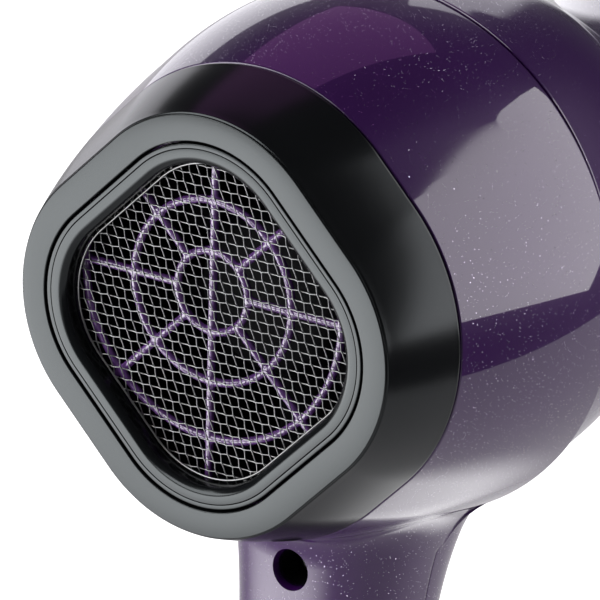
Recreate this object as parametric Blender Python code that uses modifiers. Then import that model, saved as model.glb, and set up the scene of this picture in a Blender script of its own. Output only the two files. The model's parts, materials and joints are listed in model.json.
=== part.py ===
"""A handheld hair dryer with a rounded-square intake cowl, a round barrel and a leaning handle.

Lengths are in millimetres until a mesh is made. The working frame has its origin on the
axis of the air path, where the cowl meets the housing: +Y is the way the air flows, +Z is
up, and the handle hangs down. ORIGIN places it so that the handle's end stands on z = 0
and the part's box is centred on x = 0 and y = 0.
"""
import math

import bmesh
import bpy
from mathutils import Matrix, Vector

MM = 0.001
GAP = 0.3                        # clearance between neighbouring pieces

# Air path, measured along the axis from the joint between cowl and housing
RIM_DEPTH = 16.15                # cowl's rim face behind the joint
OUTLET_FACE = 156.0              # outlet ring's front face
AXIS_HEIGHT = 168.0              # axis above the handle's end
ORIGIN = Vector((0.0, RIM_DEPTH - (RIM_DEPTH + OUTLET_FACE) / 2, AXIS_HEIGHT)) * MM

# Housing: a rounded square at the joint that becomes a circle at the front edge
JOINT_HALF = 41.8                # half-side of the rounded square
JOINT_ROUNDNESS = 0.876          # corner radius over half-side; 1 is a circle
HOUSING_LENGTH = 40.0
HOUSING_RISE = 13.2              # growth of the half-side along the length ...
HOUSING_BOW = 5.4                # ... less this much, which bows the outline
HOUSING_DROP = 1.1               # how far the front edge's centre sinks
HOUSING_WALL = 2.4
FRONT_WALL = 3.0                 # thicker at the front edge

# Barrel: a tongue inside the housing, then outer radius at distances along the axis
TONGUE_START = 34.0
TONGUE_RADIUS = 44.8
BARREL_PROFILE = ((40.3, 48.9), (46.0, 48.5), (52.0, 47.9), (58.0, 46.9), (64.0, 45.1),
                  (70.0, 42.5), (80.0, 37.0), (90.0, 32.6), (100.0, 29.4), (112.0, 27.0),
                  (126.0, 25.6), (146.0, 24.6))
BARREL_WALL = 2.2

# Cowl, filter and guard
RIM_HALF = 35.3
GROOVE_HALF = 30.2
OPENING_HALF = 25.9
MESH_PLANE = -11.9
GUARD_PLANE = -10.5
GUARD_CENTRE = (-1.7, 4.8)
GUARD_RINGS = (7.5, 16.8, 27.4)
GUARD_BAR = 0.82                 # half the width of a bar
COWL_WALL = 2.2
COLLAR_HALF = 32.5               # inside the collar's rear end

# Handle, by depth below the axis
NECK = 57.0                      # depth where the handle's section is stated
HANDLE_REAR = 14.0
HANDLE_FRONT = 43.5
HANDLE_HALF_WIDTH = 15.6
HANDLE_LEAN = 0.085              # rearward shift per millimetre of depth
FLARE_START = 45.0
FLARE_LENGTH = 15.0
FLARE_REAR, FLARE_FRONT, FLARE_SIDE = 2.2, 10.0, 5.5
HANDLE_POWER = 2.6               # superellipse exponent of the section
HANDLE_WALL = 2.4
HANDLE_END = 158.0
GRIP_DEPTHS = (30, 44, 49, 57, 66, 80, 110, HANDLE_END)
SEAM = 31.4                      # where the rear and front halves meet, at the neck
SCREW_DEPTHS = {"upper": 54.9, "lower": 140.0}
SCREW_HOLE = 3.5
SCREW_SEAT = 9.0                 # depth of the recess below the handle's rear face

# Fan, motor and heater
DUCT_RADIUS = 36.0
DUCT_ENDS = (2.0, 52.0)
FAN_RADIUS = 33.2
FAN_BLADES = 9
STATOR_VANES = 7
MOTOR_RADIUS = 16.5
MOTOR_ENDS = (22.0, 50.0)
SHAFT_RADIUS = 1.5
BOARD_ENDS = (66.0, 142.0)
BOARD_HALF = 18.2
BOARD_THICKNESS = 0.8
COIL_RADIUS = 19.1
COIL_WIRE = 0.45

# Switches on the handle's front face, by depth below the axis
ROCKER_DEPTHS = {"speed": 84.0, "heat": 108.0}
ROCKER_PIVOT = 7.5               # pivot below the face
ROCKER_HALF_LENGTH = 8.0
ROCKER_WIDTH = 9.0
WINDOW = (9.8, 19.6)             # opening in the handle for a rocker
BUTTON_DEPTH = 66.0
BUTTON_RADIUS = 4.2
CARRIER_FACE = 21.4

TAU = 2 * math.pi
ALONG_Y = (-math.pi / 2, 0.0, 0.0)            # turns a local Z axis to +Y
ALONG_X = Matrix(((0, 0, 1), (1, 0, 0), (0, 1, 0))).to_euler()


# ---------------------------------------------------------------- scene helpers

def clear_scene():
    for item in list(bpy.data.objects):
        bpy.data.objects.remove(item)


def new_collection(name):
    collection = bpy.data.collections.new(name)
    bpy.context.scene.collection.children.link(collection)
    return collection


def new_material(name, colour, roughness, metallic=0.0, coat=0.0):
    material = bpy.data.materials.new(name)
    material.use_nodes = True
    shader = material.node_tree.nodes["Principled BSDF"]
    shader.inputs["Base Color"].default_value = (*colour, 1.0)
    shader.inputs["Roughness"].default_value = roughness
    shader.inputs["Metallic"].default_value = metallic
    shader.inputs["Coat Weight"].default_value = coat
    return material


def register(item, material=None):
    """File a new object: a part when it has a material, a cutter when it has none."""
    for collection in list(item.users_collection):
        collection.objects.unlink(item)
    if material:
        PARTS.objects.link(item)
        item.data.materials.clear()
        item.data.materials.append(MATERIALS[material])
    else:
        CUTTERS.objects.link(item)
        item.hide_render = True
        item.display_type = "WIRE"
    return item


def mesh_object(name, builder, material=None, origin=(0.0, 0.0, 0.0), smooth=True):
    """Object at a working-frame point, from a bmesh in millimetres round that point."""
    bmesh.ops.recalc_face_normals(builder, faces=builder.faces)
    bmesh.ops.scale(builder, vec=(MM, MM, MM), verts=builder.verts)
    mesh = bpy.data.meshes.new(name)
    builder.to_mesh(mesh)
    builder.free()
    if smooth:
        mesh.shade_smooth()
        mesh.set_sharp_from_angle(angle=math.radians(35))
    item = bpy.data.objects.new(name, mesh)
    item.location = ORIGIN + Vector(origin) * MM
    return register(item, material)


def boolean(target, tool, operation):
    modifier = target.modifiers.new(tool.name, "BOOLEAN")
    modifier.object = tool
    modifier.operation = operation


def cut(target, *tools):
    for tool in tools:
        boolean(target, tool, "DIFFERENCE")


def join(target, *tools):
    for tool in tools:
        boolean(target, tool, "UNION")


def bevel(item, width, segments=2):
    modifier = item.modifiers.new("Rounded edges", "BEVEL")
    modifier.width = width * MM
    modifier.segments = segments
    modifier.limit_method = "ANGLE"


# ---------------------------------------------------------------- shape helpers

def box(name, size, centre, material=None, pivot=None):
    """Box of a size round a centre; pivot, if given, becomes the object's origin."""
    origin = Vector(pivot if pivot else centre)
    builder = bmesh.new()
    bmesh.ops.create_cube(builder, size=1.0)
    bmesh.ops.scale(builder, vec=size, verts=builder.verts)
    bmesh.ops.translate(builder, vec=Vector(centre) - origin, verts=builder.verts)
    return mesh_object(name, builder, material, origin, smooth=False)


def rod(name, radius, start, end, material=None, segments=20):
    """Cylinder between two points."""
    start, end = Vector(start), Vector(end)
    axis = end - start
    builder = bmesh.new()
    bmesh.ops.create_cone(builder, cap_ends=True, segments=segments, radius1=radius,
                          radius2=radius, depth=axis.length)
    turn = axis.to_track_quat("Z", "Y").to_matrix()
    bmesh.ops.rotate(builder, cent=(0, 0, 0), matrix=turn, verts=builder.verts)
    return mesh_object(name, builder, material, (start + end) / 2)


def turned(name, profile, material=None, segments=32):
    """Solid of revolution about the axis; profile is a list of (distance, radius).

    A profile whose ends lie on the axis stays open there, and any other is closed.
    """
    area = sum(a[1] * b[0] - b[1] * a[0] for a, b in zip(profile, profile[1:] + profile[:1]))
    points = profile[::-1] if area > 0 else profile
    mesh = bpy.data.meshes.new(name)
    verts = [Vector((radius, 0.0, distance)) * MM for distance, radius in points]
    edges = [(i, i + 1) for i in range(len(points) - 1)]
    if min(radius for _, radius in points) > 0:
        edges.append((len(points) - 1, 0))
    mesh.from_pydata(verts, edges, [])
    item = bpy.data.objects.new(name, mesh)
    item.location = ORIGIN
    item.rotation_euler = ALONG_Y
    screw = item.modifiers.new("Turn", "SCREW")
    screw.steps = screw.render_steps = segments
    screw.use_merge_vertices = True
    screw.merge_threshold = 0.00001
    screw.use_smooth_shade = False
    return register(item, material)


def curve_object(name, points, radius, cyclic=False):
    """Round bar along a poly line."""
    data = bpy.data.curves.new(name, "CURVE")
    data.dimensions = "3D"
    data.bevel_depth = radius * MM
    data.bevel_resolution = 2
    data.use_fill_caps = True
    spline = data.splines.new("POLY")
    spline.points.add(len(points) - 1)
    for target, point in zip(spline.points, points):
        target.co = (*(Vector(point) * MM), 1.0)
    spline.use_cyclic_u = cyclic
    item = bpy.data.objects.new(name, data)
    item.location = ORIGIN
    return item


def wire(name, points, radius, material):
    return register(curve_object(name, points, radius), material)


def outline_plate(name, outline, thickness, material=None, rotation=ALONG_X,
                  origin=(0, 0, 0), holes=()):
    """Flat plate from 2-D outlines, as a mesh that can be cut; stands across X by default."""
    data = bpy.data.curves.new(name, "CURVE")
    data.dimensions = "2D"
    data.fill_mode = "BOTH"
    data.extrude = thickness / 2 * MM
    for edge in (outline, *holes):
        spline = data.splines.new("POLY")
        spline.points.add(len(edge) - 1)
        for target, (u, v) in zip(spline.points, edge):
            target.co = (u * MM, v * MM, 0.0, 1.0)
        spline.use_cyclic_u = True
    curve = bpy.data.objects.new(name + "_outline", data)
    curve.location = ORIGIN + Vector(origin) * MM
    curve.rotation_euler = rotation
    CUTTERS.objects.link(curve)
    bpy.context.view_layer.update()
    mesh = bpy.data.meshes.new_from_object(curve.evaluated_get(
        bpy.context.evaluated_depsgraph_get()))
    builder = bmesh.new()
    builder.from_mesh(mesh)
    bmesh.ops.remove_doubles(builder, verts=builder.verts, dist=0.000001)
    bmesh.ops.recalc_face_normals(builder, faces=builder.faces)
    builder.to_mesh(mesh)
    builder.free()
    item = bpy.data.objects.new(name, mesh)
    item.matrix_world = curve.matrix_world
    bpy.data.objects.remove(curve)
    return register(item, material)


def loft(name, rings, material=None, closed=False):
    """Skin over rings of equal point counts; a closed one returns to its first ring."""
    builder = bmesh.new()
    loops = [[builder.verts.new(point) for point in ring] for ring in rings]
    pairs = list(zip(loops, loops[1:]))
    if closed:
        pairs.append((loops[-1], loops[0]))
    else:
        builder.faces.new(loops[0])
        builder.faces.new(loops[-1])
    for lower, upper in pairs:
        for i in range(len(lower)):
            j = (i + 1) % len(lower)
            builder.faces.new((lower[i], lower[j], upper[j], upper[i]))
    return mesh_object(name, builder, material)


# ---------------------------------------------------------------- sections

def square_ring(distance, half, roundness, centre=(0.0, 0.0), count=40):
    """Rounded square with a corner at the top, in the plane at a distance along the axis."""
    ring = []
    corner = half * roundness
    reach = (half - corner) * math.sqrt(2)
    for i in range(count):
        angle = TAU * i / count
        from_flat = abs(angle % (math.pi / 2) - math.pi / 4)
        if math.tan(from_flat) <= 1 - roundness:
            radius = half / math.cos(from_flat)
        else:
            off = math.pi / 4 - from_flat
            radius = reach * math.cos(off) + math.sqrt(corner ** 2 - (reach * math.sin(off)) ** 2)
        ring.append(Vector((centre[0] + radius * math.cos(angle), distance,
                            centre[1] + radius * math.sin(angle))))
    return ring


def housing_ring(distance, inset):
    """Housing's outer section at a distance along the axis, moved inward by inset."""
    t = distance / HOUSING_LENGTH
    half = JOINT_HALF + HOUSING_RISE * t - HOUSING_BOW * t * t
    roundness = JOINT_ROUNDNESS + (1 - JOINT_ROUNDNESS) * min(max(t, 0.0), 1.0)
    drop = HOUSING_DROP * max(t, 0.0) ** 3
    return square_ring(distance, half - inset, roundness, (0.0, -drop))


def handle_face(depth, side):
    """Distance along the axis of the handle's rear or front face at a depth."""
    flare = math.exp(-(depth - FLARE_START) / FLARE_LENGTH)
    lean = HANDLE_LEAN * (depth - NECK)
    if side == "rear":
        return HANDLE_REAR - lean - FLARE_REAR * flare
    return HANDLE_FRONT - lean + FLARE_FRONT * flare


def seam(depth):
    """Distance along the axis of the parting plane, which leans with the handle."""
    return SEAM - HANDLE_LEAN * (depth - NECK)


def handle_ring(depth, inset, count=28):
    """Handle's section at a depth below the axis, moved inward by inset."""
    flare = math.exp(-(depth - FLARE_START) / FLARE_LENGTH)
    rear = handle_face(depth, "rear") + inset
    front = handle_face(depth, "front") - inset
    half_width = HANDLE_HALF_WIDTH + FLARE_SIDE * flare - inset
    ring = []
    for i in range(count):
        angle = TAU * i / count
        across = math.copysign(abs(math.cos(angle)) ** (2 / HANDLE_POWER), math.cos(angle))
        along = math.copysign(abs(math.sin(angle)) ** (2 / HANDLE_POWER), math.sin(angle))
        ring.append(Vector((half_width * across,
                            (front + rear) / 2 + (front - rear) / 2 * along, -depth)))
    return ring


def spread(start, end, count):
    return [start + (end - start) * i / (count - 1) for i in range(count)]


# ---------------------------------------------------------------- cowl and filter

def make_cowl():
    rim = -RIM_DEPTH
    stations = ((-GAP, JOINT_HALF, JOINT_ROUNDNESS), (-8.5, 38.9, 0.83), (-14.6, 36.2, 0.78),
                (-15.8, 35.7, 0.775), (rim, RIM_HALF, 0.77), (rim, GROOVE_HALF, 0.69),
                (-13.0, GROOVE_HALF, 0.69), (-13.0, 34.7, 0.76),
                (-GAP, JOINT_HALF - COWL_WALL, 0.87))
    loft("rear_cowl", [square_ring(*station) for station in stations], "satin_black", True)


def make_filter():
    outer = GROOVE_HALF - 0.4
    stations = ((-16.0, outer, 0.69), (-11.7, outer, 0.69), (-11.7, 28.0, 0.67),
                (-12.4, 28.0, 0.67), (-12.4, OPENING_HALF, 0.65), (-15.1, OPENING_HALF, 0.65),
                (-16.0, 27.2, 0.66))
    loft("filter_frame", [square_ring(*station) for station in stations], "satin_black", True)
    wave = [math.radians(45 + 90 * i) for i in range(4)]
    bead = [square_ring(-12.75 + 0.3 * math.sin(a), OPENING_HALF - 0.65 + 0.3 * math.cos(a), 0.65)
            for a in wave]
    loft("filter_bead", bead, "steel", True)
    sheet = [square_ring(MESH_PLANE + side, 27.7, 0.67) for side in (-0.2, 0.2)]
    loft("filter_mesh", sheet, "steel")


def make_intake_guard():
    """Collar that the cowl slips over, and the web of rings and spokes set in its end."""
    stations = ((-11.2, 34.2, 0.76), (-0.5, 38.9, 0.86), (5.0, 38.9, 0.86),
                (5.0, 37.2, 0.86), (-0.5, 37.2, 0.86), (-11.2, COLLAR_HALF, 0.76))
    loft("intake_collar", [square_ring(*station) for station in stations],
         "dark_plastic", True)
    rim = [(point.x, -point.z) for point in square_ring(0.0, COLLAR_HALF - GAP, 0.76)]
    outline_plate("intake_guard", rim, 2 * GUARD_BAR, "violet_plastic", ALONG_Y,
                  (0, GUARD_PLANE, 0), web_holes())


def web_holes():
    """Outlines of the holes between the web's rings and its eight spokes."""
    holes = []
    inner = GUARD_RINGS[0] - GUARD_BAR
    for side in (0, math.pi):        # the upright bar alone crosses the inner ring
        edge = math.acos(GUARD_BAR / inner)
        angles = spread(side - edge, side + edge, 8)
        holes.append([(inner * math.cos(a), inner * math.sin(a)) for a in angles])
    for number in range(8):
        start, end = TAU * number / 8, TAU * (number + 1) / 8
        for low, high in zip(GUARD_RINGS, GUARD_RINGS[1:] + (None,)):
            low += GUARD_BAR
            clear = [a for a in spread(start, end, 4 if low < 20 else 6)
                     if high or rim_radius(a) > low + GUARD_BAR]
            near = bar_angles(clear, low, start, end)
            if high:
                far = bar_angles(clear, high - GUARD_BAR, start, end)
                outer = [polar(high - GUARD_BAR, a) for a in far]
            else:
                far = bar_angles(clear, rim_radius(clear[0]), start, end)
                outer = [polar(rim_radius(a), a) for a in far]
            holes.append([polar(low, a) for a in near] + outer[::-1])
    cx, cz = GUARD_CENTRE
    return [[(cx + x, -cz - z) for x, z in hole] for hole in holes]


def polar(radius, angle):
    return radius * math.cos(angle), radius * math.sin(angle)


def bar_angles(angles, radius, start, end):
    """The angles of a run, kept half a bar's width away from the spokes at start and end."""
    margin = math.asin(GUARD_BAR / radius)
    inside = [a for a in angles if start + margin < a < end - margin]
    if angles[0] == start:
        inside.insert(0, start + margin)
    if angles[-1] == end:
        inside.append(end - margin)
    return inside


def rim_radius(angle):
    """Distance from the web's centre to the inside of its rim, along an angle."""
    centre = Vector((GUARD_CENTRE[0], 0.0, GUARD_CENTRE[1]))
    direction = Vector((math.cos(angle), 0.0, math.sin(angle)))
    ring = square_ring(0.0, COLLAR_HALF - GAP - 1.0, 0.76, count=180)
    nearest = max(ring, key=lambda point: (point - centre).normalized().dot(direction))
    return (nearest - centre).length


# ---------------------------------------------------------------- body shells

def screw_holes(side):
    """Bosses and holes for the two handle screws, on one half of the handle."""
    bosses, holes = [], []
    for place, depth in SCREW_DEPTHS.items():
        rear, front = handle_face(depth, "rear"), handle_face(depth, "front")
        name = f"{side}_{place}_screw"
        if side == "rear":
            bosses.append(rod(name + "_boss", 5.2, (0, rear + 1, -depth),
                              (0, seam(depth), -depth)))
            holes.append(rod(name + "_recess", SCREW_HOLE, (0, rear - 4, -depth),
                             (0, rear + SCREW_SEAT, -depth)))
            holes.append(rod(name + "_hole", 1.7, (0, rear, -depth),
                             (0, seam(depth) + 1, -depth)))
        else:
            start = seam(depth) + GAP
            bosses.append(rod(name + "_post", 4.6, (0, start, -depth), (0, front - 1, -depth)))
            holes.append(rod(name + "_pilot", 1.6, (0, start - 1, -depth),
                             (0, start + 6, -depth)))
    return bosses, holes


def handle_half(name, face, offset):
    """Cutter for everything on one side of the leaning parting plane."""
    pivot = (0, face, -NECK)
    limit = box(name, (90, 80, 240), (0, face + offset, -NECK), pivot=pivot)
    limit.rotation_euler.x = -math.atan(HANDLE_LEAN)
    return limit


def make_rear_shell():
    """Housing and the rear half of the handle in one moulding."""
    stops = [GAP] + [HOUSING_LENGTH * i / 6 for i in range(1, 7)]
    shell = loft("rear_body_shell", [housing_ring(stop, 0.0) for stop in stops],
                 "violet_metallic")
    grip = loft("rear_grip_form", [handle_ring(depth, 0.0) for depth in GRIP_DEPTHS])
    cut(grip, handle_half("rear_grip_limit", SEAM, 40))
    join(shell, grip)
    stops = [-2.0, 10.0, 20.0, 30.0, HOUSING_LENGTH + 2]
    walls = spread(HOUSING_WALL, FRONT_WALL, len(stops))
    cut(shell, loft("housing_hollow", [housing_ring(s, w) for s, w in zip(stops, walls)]))
    cut(shell, loft("grip_hollow", [handle_ring(depth, HANDLE_WALL)
                                    for depth in (34, 48, 58, 75, 100, HANDLE_END + 4)]))
    bosses, holes = screw_holes("rear")
    for side in (-1, 1):
        bosses.append(rod(f"clamp_post_{side}", 3.2, (8 * side, 9.3, -150), (8 * side, 21.7, -150)))
        holes.append(rod(f"clamp_pilot_{side}", 1.5, (8 * side, 11.0, -150), (8 * side, 23, -150)))
    join(shell, *bosses)
    cut(shell, *holes)


def make_front_shell():
    """Barrel and the front half of the handle in one moulding."""
    step, (end, end_radius) = BARREL_PROFILE[0][0], BARREL_PROFILE[-1]
    outside = [(TONGUE_START, 0.0), (TONGUE_START, TONGUE_RADIUS), (step, TONGUE_RADIUS)]
    shell = turned("front_body_shell", outside + list(BARREL_PROFILE) + [(end, 0.0)],
                   "violet_metallic")
    grip = loft("front_grip_form", [handle_ring(depth, 0.0) for depth in GRIP_DEPTHS])
    cut(grip, handle_half("front_grip_limit", SEAM + GAP, -40))
    cut(grip, loft("housing_clearance", [housing_ring(stop, -GAP) for stop in
                                         (0.0, 10.0, 20.0, 30.0, HOUSING_LENGTH + GAP)]))
    join(shell, grip)
    bore = TONGUE_RADIUS - BARREL_WALL
    hollow = [(TONGUE_START - 2, 0.0), (TONGUE_START - 2, bore), (step + BARREL_WALL, bore)]
    hollow += [(distance, radius - BARREL_WALL) for distance, radius in BARREL_PROFILE[1:]]
    hollow += [(end + 2, end_radius - BARREL_WALL), (end + 2, 0.0)]
    cut(shell, turned("barrel_hollow", hollow))
    cut(shell, bpy.data.objects["grip_hollow"])
    bosses, holes = screw_holes("front")
    join(shell, *bosses)
    cut(shell, *holes)
    for name, depth in ROCKER_DEPTHS.items():
        cut(shell, box(f"{name}_window", (WINDOW[0], 14.0, WINDOW[1]),
                       (0, handle_face(depth, "front"), -depth)))
    face = handle_face(BUTTON_DEPTH, "front")
    cut(shell, rod("button_window", BUTTON_RADIUS + 0.4, (0, face - 5, -BUTTON_DEPTH),
                   (0, face + 6, -BUTTON_DEPTH)))


def make_handle_screws():
    for place, depth in SCREW_DEPTHS.items():
        seat = handle_face(depth, "rear") + SCREW_SEAT - GAP
        name = f"handle_screw_{place}"
        profile = [(seat - 2.2, 0.0), (seat - 2.2, 1.9), (seat - 1.6, 2.8), (seat, 3.0),
                   (seat, 1.3), (seam(depth) + 5.4, 1.3), (seam(depth) + 5.7, 0.0)]
        screw = turned(name, profile, "steel", 20)
        screw.location = ORIGIN + Vector((0, 0, -depth)) * MM
        for turn in (0, 1):
            size = (3.6, 1.6, 0.8) if turn else (0.8, 1.6, 3.6)
            cut(screw, box(f"{name}_slot_{turn}", size, (0, seat - 2.2, -depth)))


# ---------------------------------------------------------------- outlet and heater

def make_outlet():
    start = BARREL_PROFILE[-1][0] + GAP
    face = OUTLET_FACE
    turned("outlet_ring", [(start, 24.6), (start + 1.0, 25.4), (start + 2.6, 25.4),
                           (start + 3.2, 24.2), (face - 0.6, 24.2), (face, 23.6),
                           (face, 21.4), (face - 0.6, 20.8), (start, 20.8)], "satin_black")
    plane = start + 3.0
    grille = turned("outlet_grille", [(plane - 1.2, 20.4), (plane + 1.2, 20.4),
                                      (plane + 1.2, 18.8), (plane - 1.2, 18.8)],
                    "satin_black", 28)
    for number, radius in enumerate((6.0, 12.5)):
        join(grille, turned(f"grille_ring_{number}",
                            [(plane - 1.0, radius + 0.6), (plane + 1.0, radius + 0.6),
                             (plane + 1.0, radius - 0.6), (plane - 1.0, radius - 0.6)],
                            segments=18))
    for number in range(6):
        angle = TAU * number / 6
        direction = Vector((math.cos(angle), 0.0, math.sin(angle)))
        centre = Vector((0.0, plane, 0.0))
        spoke = box(f"grille_spoke_{number}", (13.6, 1.8, 1.1), centre + direction * 12.6)
        spoke.rotation_euler.y = -angle
        join(grille, spoke)


def make_heater():
    rear, front = BOARD_ENDS
    shield = ((60.0, 33.4), (75.0, 29.8), (92.0, 25.8), (112.0, 22.8), (144.0, 21.0))
    inner = [(distance, radius - 0.8) for distance, radius in shield]
    turned("heat_shield", list(shield) + inner[::-1], "mica", 24)
    middle = (rear + front) / 2
    slot = BOARD_THICKNESS / 2 + GAP
    half = BOARD_HALF
    upright = [(rear, -half), (front, -half), (front, -slot), (middle, -slot),
               (middle, slot), (front, slot), (front, half), (rear, half)]
    flat = [(rear, -half), (front, -half), (front, half), (rear, half), (rear, slot),
            (middle + GAP, slot), (middle + GAP, -slot), (rear, -slot)]
    outline_plate("mica_board_upright", upright, BOARD_THICKNESS, "mica")
    lying = (Matrix.Rotation(math.pi / 2, 3, "Y") @ ALONG_X.to_matrix()).to_euler()
    outline_plate("mica_board_flat", flat, BOARD_THICKNESS, "mica", lying)
    make_coil("heating_coil_rear", rear + 6, 4)
    make_coil("heating_coil_front", middle + 8, 3)
    box("thermostat", (7.5, 9.0, 7.5), (5.4, middle, 5.4), "ceramic")
    rod("thermal_fuse", 1.6, (-5.0, middle - 6, 5.0), (-5.0, middle + 6, 5.0), "ceramic", 12)


def make_coil(name, start, turns):
    pitch, sides = 6.0, 8
    points = []
    for i in range(turns * sides + 1):
        angle = TAU * i / sides
        points.append((COIL_RADIUS * math.cos(angle), start + pitch * i / sides,
                       COIL_RADIUS * math.sin(angle)))
    wire(name, points, COIL_WIRE, "steel")


# ---------------------------------------------------------------- fan and motor

def make_fan():
    hub = turned("fan_impeller", [(5.0, SHAFT_RADIUS + GAP), (5.0, 12.0), (8.0, 15.5),
                                  (20.0, 16.0), (20.0, 14.0), (9.0, 13.8), (9.0, 4.0),
                                  (18.0, 4.0), (18.0, SHAFT_RADIUS + GAP)], "dark_plastic", 36)
    builder = bmesh.new()
    for number in range(FAN_BLADES):
        made = bmesh.ops.create_cube(builder, size=1.0)["verts"]
        for vert in made:
            tip = vert.co.x > 0
            pitch = Matrix.Rotation(math.radians(58 if tip else 38), 3, "X")
            point = pitch @ Vector((0.0, vert.co.y * (14.0 if tip else 11.0), vert.co.z * 1.3))
            vert.co = Vector((FAN_RADIUS if tip else 14.9, point.y + 13.5, point.z))
        turn = Matrix.Rotation(TAU * number / FAN_BLADES, 3, "Y")
        bmesh.ops.rotate(builder, cent=(0, 0, 0), matrix=turn, verts=made)
    join(hub, mesh_object("fan_blades", builder))
    turned("motor_shaft", [(3.6, 0.0), (3.6, SHAFT_RADIUS), (51.0, SHAFT_RADIUS), (51.0, 0.0)],
           "steel", 16)
    turned("motor_rotor", [(27.5, SHAFT_RADIUS + GAP), (27.5, 5.0), (31.0, 5.0), (31.0, 10.8),
                           (45.0, 10.8), (45.0, SHAFT_RADIUS + GAP)], "copper", 32)


def make_motor():
    start, end = MOTOR_ENDS
    inner = MOTOR_RADIUS - 1.2
    bush = 2.7
    turned("motor_can", [(start, MOTOR_RADIUS), (end, MOTOR_RADIUS), (end, bush + GAP),
                         (end - 1.4, bush + GAP), (end - 1.4, inner), (start, inner)],
           "steel", 36)
    turned("motor_end_cap", [(start, inner - GAP), (start + 2.4, inner - GAP),
                             (start + 2.4, bush + GAP), (start, bush + GAP)], "dark_plastic", 36)
    for name, place in (("rear_bearing", start - 0.3), ("front_bearing", end - 3.0)):
        turned(name, [(place, bush), (place + 3.0, bush), (place + 3.0, SHAFT_RADIUS + GAP),
                      (place, SHAFT_RADIUS + GAP)], "brass", 16)
    arc = [math.radians(-60 + 15 * i) for i in range(9)]
    for name, side in (("motor_magnet_left", -1), ("motor_magnet_right", 1)):
        outline = [(11.4 * math.cos(a) * side, 11.4 * math.sin(a)) for a in arc]
        outline += [(14.9 * math.cos(a) * side, 14.9 * math.sin(a)) for a in arc[::-1]]
        outline_plate(name, outline, 14.0, "ferrite", ALONG_Y, (0, 38.0, 0))
    turned("rectifier_board", [(52.5, 0.0), (52.5, 10.0), (54.0, 10.0), (54.0, 0.0)],
           "circuit_board", 24)


def make_fan_duct():
    """Tube round the fan, with the motor's sleeve held on stator vanes."""
    start, end = DUCT_ENDS
    wall = DUCT_RADIUS - 1.8
    duct = turned("fan_duct", [(start, DUCT_RADIUS), (end, DUCT_RADIUS), (end, wall),
                               (start, wall)], "dark_plastic")
    sleeve = MOTOR_RADIUS + 0.4
    rear, front = MOTOR_ENDS
    join(duct, vane_star(rear + 3, front - 3, sleeve, wall))
    cut(duct, rod("motor_bore", sleeve, (0, rear - 1, 0), (0, front + 1, 0), segments=36))


def vane_star(rear, front, sleeve, wall):
    """Motor sleeve with its vanes, solid until the motor's bore is cut."""
    star = rod("motor_sleeve_form", sleeve + 1.8, (0, rear, 0), (0, front, 0), segments=36)
    length = wall + 0.9 - sleeve
    for number in range(STATOR_VANES):
        angle = TAU * (number + 0.25) / STATOR_VANES
        direction = Vector((math.cos(angle), 0.0, math.sin(angle)))
        centre = direction * (sleeve + length / 2) + Vector((0, (rear + front) / 2, 0))
        vane = box(f"stator_vane_{number}", (length, front - rear - 2, 1.5), centre)
        vane.rotation_euler.y = -angle
        join(star, vane)
    return star


# ---------------------------------------------------------------- switches in the handle

def make_rocker(name, depth):
    """Three-position rocker, its pin, and the switch body whose pocket it tips in."""
    face = handle_face(depth, "front")
    pivot = Vector((0.0, face - ROCKER_PIVOT, -depth))
    tip = ROCKER_HALF_LENGTH
    dish = [(9.3 + 1.2 * (z / tip) ** 2, z) for z in spread(-tip, tip, 9)]
    outline = dish + [(4.0, tip), (-2.5, 3.0), (-2.5, -3.0), (4.0, -tip)]
    rocker = outline_plate(f"{name}_rocker", outline, ROCKER_WIDTH, "satin_black",
                           origin=pivot)
    bevel(rocker, 0.5)
    offset = Vector((7.0, 0.0, 0.0))
    cut(rocker, rod(f"{name}_rocker_hole", 1.4, pivot - offset, pivot + offset, segments=12))
    ends = Vector((6.1, 0.0, 0.0))
    rod(f"{name}_rocker_pin", 1.0, pivot - ends, pivot + ends, "steel", 12)
    rear = CARRIER_FACE + GAP
    front = face - 5.0
    body = box(f"{name}_switch_body", (12.6, front - rear, 22.0),
               (0, (front + rear) / 2, -depth), "dark_plastic")
    floor = face - ROCKER_PIVOT - 3.6
    cut(body, box(f"{name}_pocket", (9.8, 12.0, 19.8), (0, floor + 6.0, -depth)))
    cut(body, rod(f"{name}_pin_holes", 1.3, pivot - offset, pivot + offset, segments=12))


def make_cool_shot():
    """Sprung button above the rockers, its coil spring and the switch that it works."""
    face = handle_face(BUTTON_DEPTH, "front")
    centre = Vector((0.0, 0.0, -BUTTON_DEPTH))
    button = turned("cool_shot_button",
                    [(face - 7.0, 0.0), (face - 7.0, 5.6), (face - 5.6, 5.6),
                     (face - 5.6, BUTTON_RADIUS), (face + 1.4, BUTTON_RADIUS),
                     (face + 2.1, BUTTON_RADIUS - 0.8), (face + 2.3, 0.0)], "satin_black", 24)
    button.location = ORIGIN + centre * MM
    turns, sides = 3, 8
    start, end = face - 13.6, face - 7.9
    points = []
    for i in range(turns * sides + 1):
        angle = TAU * i / sides
        points.append((3.4 * math.cos(angle), start + (end - start) * i / (turns * sides),
                       -BUTTON_DEPTH + 3.4 * math.sin(angle)))
    wire("cool_shot_spring", points, 0.3, "steel")
    front = face - 14.3
    rear = CARRIER_FACE + GAP
    box("cool_shot_switch", (10.0, front - rear, 8.0),
        (0, (front + rear) / 2, -BUTTON_DEPTH), "dark_plastic")


def make_switches():
    for name, depth in ROCKER_DEPTHS.items():
        make_rocker(name, depth)
    make_cool_shot()
    box("switch_carrier", (18.0, 1.6, 60.0), (0, CARRIER_FACE - 0.8, -91.5), "circuit_board")


# ---------------------------------------------------------------- handle's end and wires

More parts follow.
